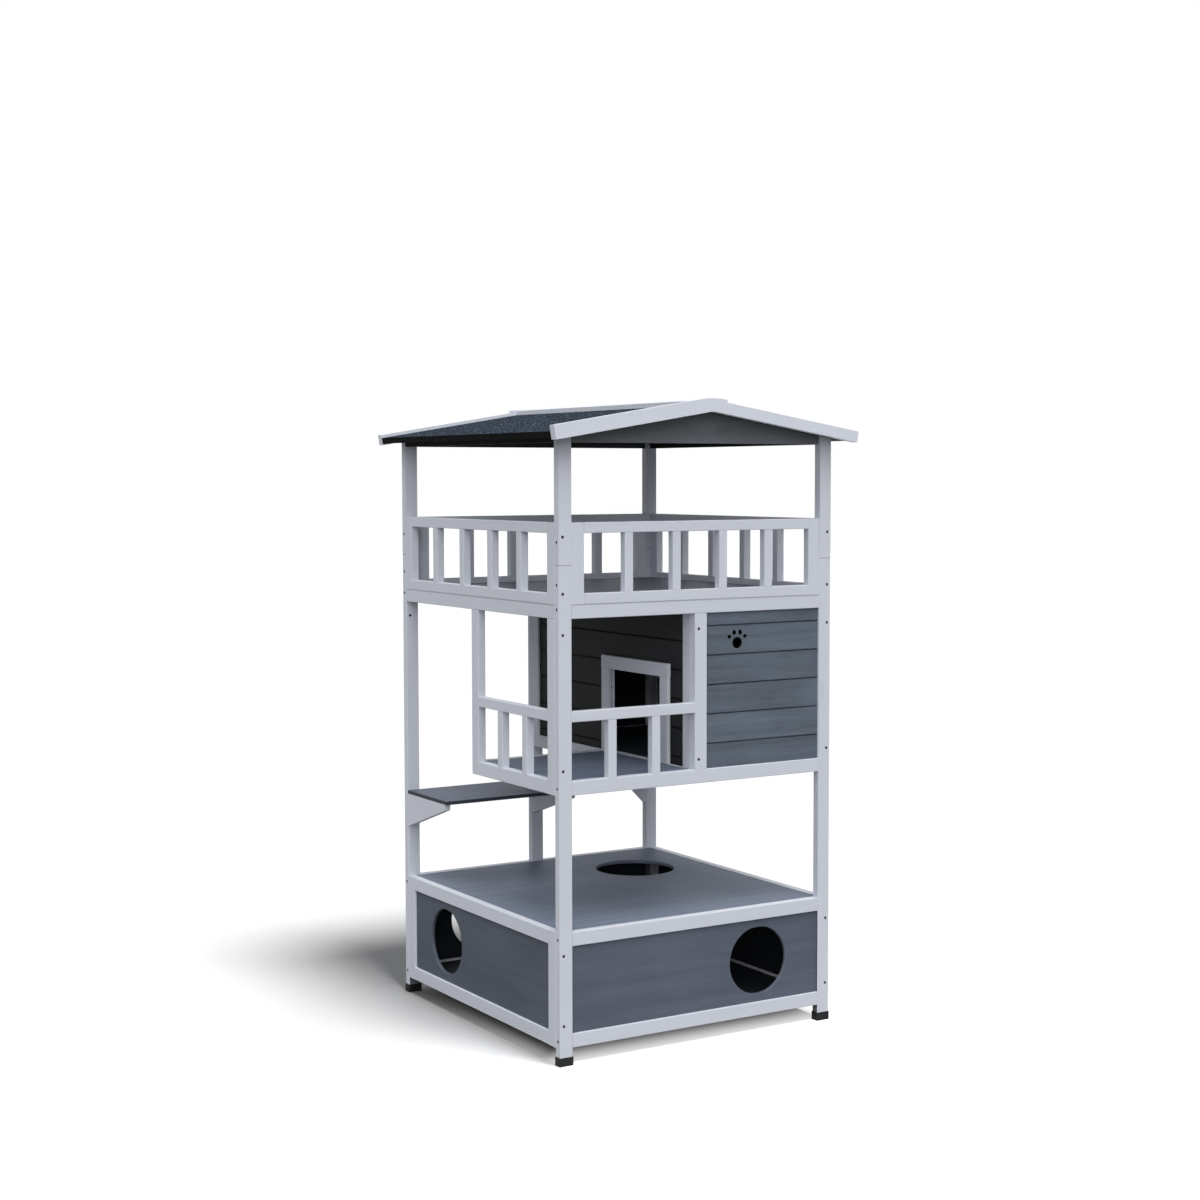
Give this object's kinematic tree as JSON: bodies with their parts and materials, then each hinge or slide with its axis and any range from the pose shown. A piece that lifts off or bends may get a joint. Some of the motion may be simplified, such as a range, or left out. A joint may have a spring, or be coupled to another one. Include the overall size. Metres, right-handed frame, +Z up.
{
  "type": "outdoor cat house",
  "caption": "Free-standing timber cat house: closed base den with round entrances, jump shelf, railed balcony with plank-walled room, and railed top deck under a felted gable roof.",
  "frame": {"origin": "on the floor, midway between the four corner posts", "axes": "+Z up, +X to the right seen from the front with the room on the right, +Y to the back; the roof ridge runs along Y"},
  "size_m": [0.844, 0.898, 1.5057],
  "materials": {
    "light_paint": "satin light grey paint on planed fir",
    "slate_paint": "satin slate grey paint on fir boards, grain showing",
    "bare_pine": "planed, unpainted",
    "roof_felt": "bitumen roofing felt with mineral grit, matt and speckled",
    "black_plastic": "moulded, matt black",
    "screw_steel": "black-coated steel"
  },
  "bodies": {
    "root": {"back_mid_post": "light_paint", "balcony_back_rail": "light_paint", "balcony_balusters": "light_paint", "balcony_floor": "slate_paint", "balcony_front_handrail": "light_paint", "balcony_left_handrail": "light_paint", "balcony_side_post": "light_paint", "base_back_panel": "slate_paint", "base_deck": "slate_paint", "base_end_rails": "light_paint", "base_floor": "slate_paint", "base_front_panel": "slate_paint", "base_left_panel": "slate_paint", "base_right_panel": "slate_paint", "base_side_rails": "light_paint", "base_side_stiles": "light_paint", "door_casing": "light_paint", "door_wall_planks": "slate_paint", "door_wall_rails": "light_paint", "door_wall_stiles": "light_paint", "eave_beams": "slate_paint", "end_aprons": "light_paint", "floor_battens": "bare_pine", "foot_caps": "black_plastic", "front_mid_post": "light_paint", "gable_panels": "slate_paint", "left_barge_boards": "light_paint", "long_screws": "screw_steel", "lower_post_back_left": "light_paint", "lower_post_back_right": "light_paint", "lower_post_front_left": "light_paint", "lower_post_front_right": "light_paint", "middle_back_rail": "light_paint", "middle_front_rail": "light_paint", "middle_left_rail": "light_paint", "middle_right_rail": "light_paint", "middle_side_stiles": "light_paint", "ridge_cap": "light_paint", "right_barge_boards": "light_paint", "roof_board_left": "slate_paint", "roof_board_right": "slate_paint", "roof_felts": "roof_felt", "room_back_planks": "slate_paint", "room_floor": "slate_paint", "room_front_planks": "slate_paint", "room_knee_brace": "light_paint", "room_right_planks": "slate_paint", "shelf_board": "slate_paint", "shelf_brackets": "light_paint", "short_screws": "screw_steel", "side_aprons": "light_paint", "upper_back_railing": "light_paint", "upper_deck": "slate_paint", "upper_front_railing": "light_paint", "upper_left_railing": "light_paint", "upper_post_back_left": "light_paint", "upper_post_back_right": "light_paint", "upper_post_front_left": "light_paint", "upper_post_front_right": "light_paint", "upper_right_railing": "light_paint"}
  },
  "joints": []
}
